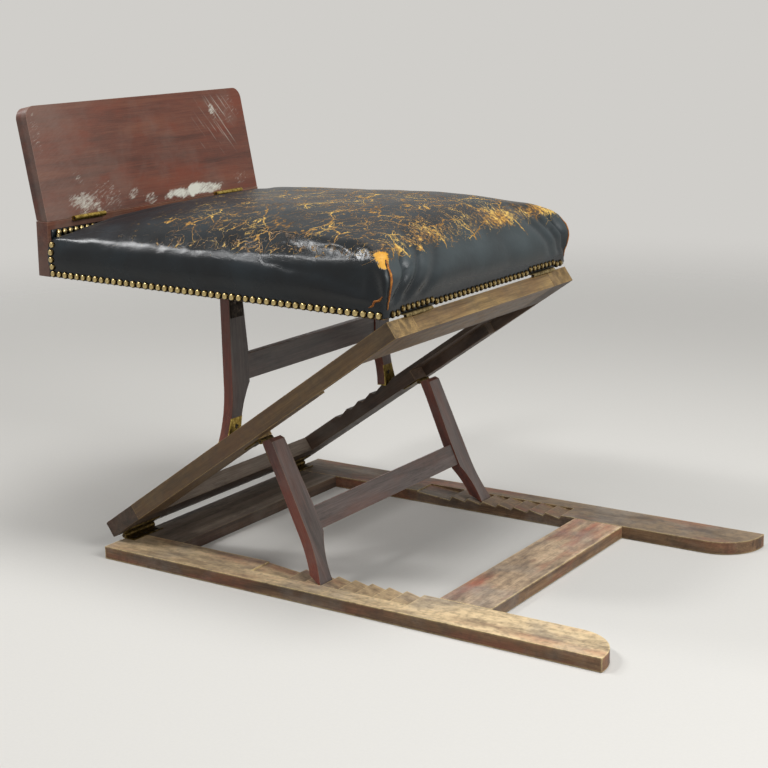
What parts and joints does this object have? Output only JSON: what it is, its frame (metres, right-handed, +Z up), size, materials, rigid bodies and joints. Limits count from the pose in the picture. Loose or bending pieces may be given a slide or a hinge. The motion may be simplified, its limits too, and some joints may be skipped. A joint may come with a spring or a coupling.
{
  "type": "folding leg rest stool",
  "caption": "Folding leg rest: notched floor frame, hinged sloping frame and padded leather seat, each held by a hinged ratchet prop, with a hinged end flap behind the pad.",
  "frame": {"origin": "centre of the bounding box at the floor under the base", "axes": "+X forward from the rear hinges to the runner tips, +Y to the left side, +Z up"},
  "size_m": [0.7498, 0.42, 0.5142],
  "materials": {
    "base_wood": "worn waxed hardwood",
    "frame_wood": "aged mahogany, worn edges",
    "prop_wood": "aged mahogany",
    "seat_wood": "plain sawn hardwood",
    "mahogany": "old polish, scratched",
    "webbing": "woven jute",
    "hessian": "coarse weave",
    "stuffing": "curled hair",
    "leather": "dry, cracked",
    "nail_brass": "rubbed bright",
    "hinge_brass": "tarnished",
    "pin_steel": "dull",
    "screw_steel": "dull"
  },
  "bodies": {
    "base": {"left_runner": "base_wood", "right_runner": "base_wood", "base_rear_rail": "base_wood", "base_cross_rail": "base_wood", "rear_hinge_base_leaves": "hinge_brass", "rear_hinge_pins": "pin_steel", "base_screws": "screw_steel"},
    "middle_frame": {"frame_left_rail": "frame_wood", "frame_right_rail": "frame_wood", "frame_rear_rail": "frame_wood", "frame_front_rail": "frame_wood", "rear_hinge_frame_leaves": "hinge_brass", "front_hinge_frame_leaves": "hinge_brass", "front_hinge_pins": "pin_steel", "lower_prop_rail_leaves": "hinge_brass", "lower_prop_pins": "pin_steel", "frame_screws": "screw_steel"},
    "lower_prop": {"lower_left_leg": "prop_wood", "lower_right_leg": "prop_wood", "lower_stretcher": "prop_wood", "lower_prop_leg_leaves": "hinge_brass", "lower_prop_screws": "screw_steel"},
    "seat": {"seat_left_rail": "seat_wood", "seat_right_rail": "seat_wood", "seat_front_rail": "seat_wood", "seat_rear_rail": "seat_wood", "prop_cross_bar": "seat_wood", "end_board": "mahogany", "long_webbing": "webbing", "cross_webbing": "webbing", "hessian": "hessian", "stuffing": "stuffing", "leather_cover": "leather", "left_side_nails": "nail_brass", "right_side_nails": "nail_brass", "front_nails": "nail_brass", "end_nails": "nail_brass", "front_hinge_seat_leaves": "hinge_brass", "upper_prop_bar_leaves": "hinge_brass", "upper_prop_pins": "pin_steel", "flap_hinge_board_leaves": "hinge_brass", "flap_hinge_pins": "pin_steel", "seat_screws": "screw_steel"},
    "upper_prop": {"upper_left_leg": "prop_wood", "upper_right_leg": "prop_wood", "upper_stretcher": "prop_wood", "upper_shoes": "hinge_brass", "upper_prop_leg_leaves": "hinge_brass", "upper_prop_screws": "screw_steel"},
    "flap": {"flap_board": "mahogany", "flap_hinge_flap_leaves": "hinge_brass", "flap_screws": "screw_steel"}
  },
  "joints": [
    {"name": "frame_lift", "type": "hinge", "parent": "base", "child": "middle_frame", "pos_m": [-0.2601, 0, 0.0178], "axis": [0, -1, 0], "range_deg": [0, 49.9]},
    {"name": "lower_prop_swing", "type": "hinge", "parent": "middle_frame", "child": "lower_prop", "pos_m": [-0.05638, 0, 0.15834], "axis": [0, -1, 0], "range_deg": [0, 99.8]},
    {"name": "seat_lift", "type": "hinge", "parent": "middle_frame", "child": "seat", "pos_m": [0.12754, 0, 0.31255], "axis": [0, 1, 0], "range_deg": [0, 80]},
    {"name": "upper_prop_swing", "type": "hinge", "parent": "seat", "child": "upper_prop", "pos_m": [-0.09978, 0, 0.31381], "axis": [0, 1, 0], "range_deg": [0, 90]},
    {"name": "flap_fold", "type": "hinge", "parent": "seat", "child": "flap", "pos_m": [-0.33026, 0, 0.38475], "axis": [0, 1, 0], "range_deg": [0, 90]}
  ],
  "couplings": [
    {"joint": "lower_prop_swing", "follows": "frame_lift", "ratio": 2}
  ]
}
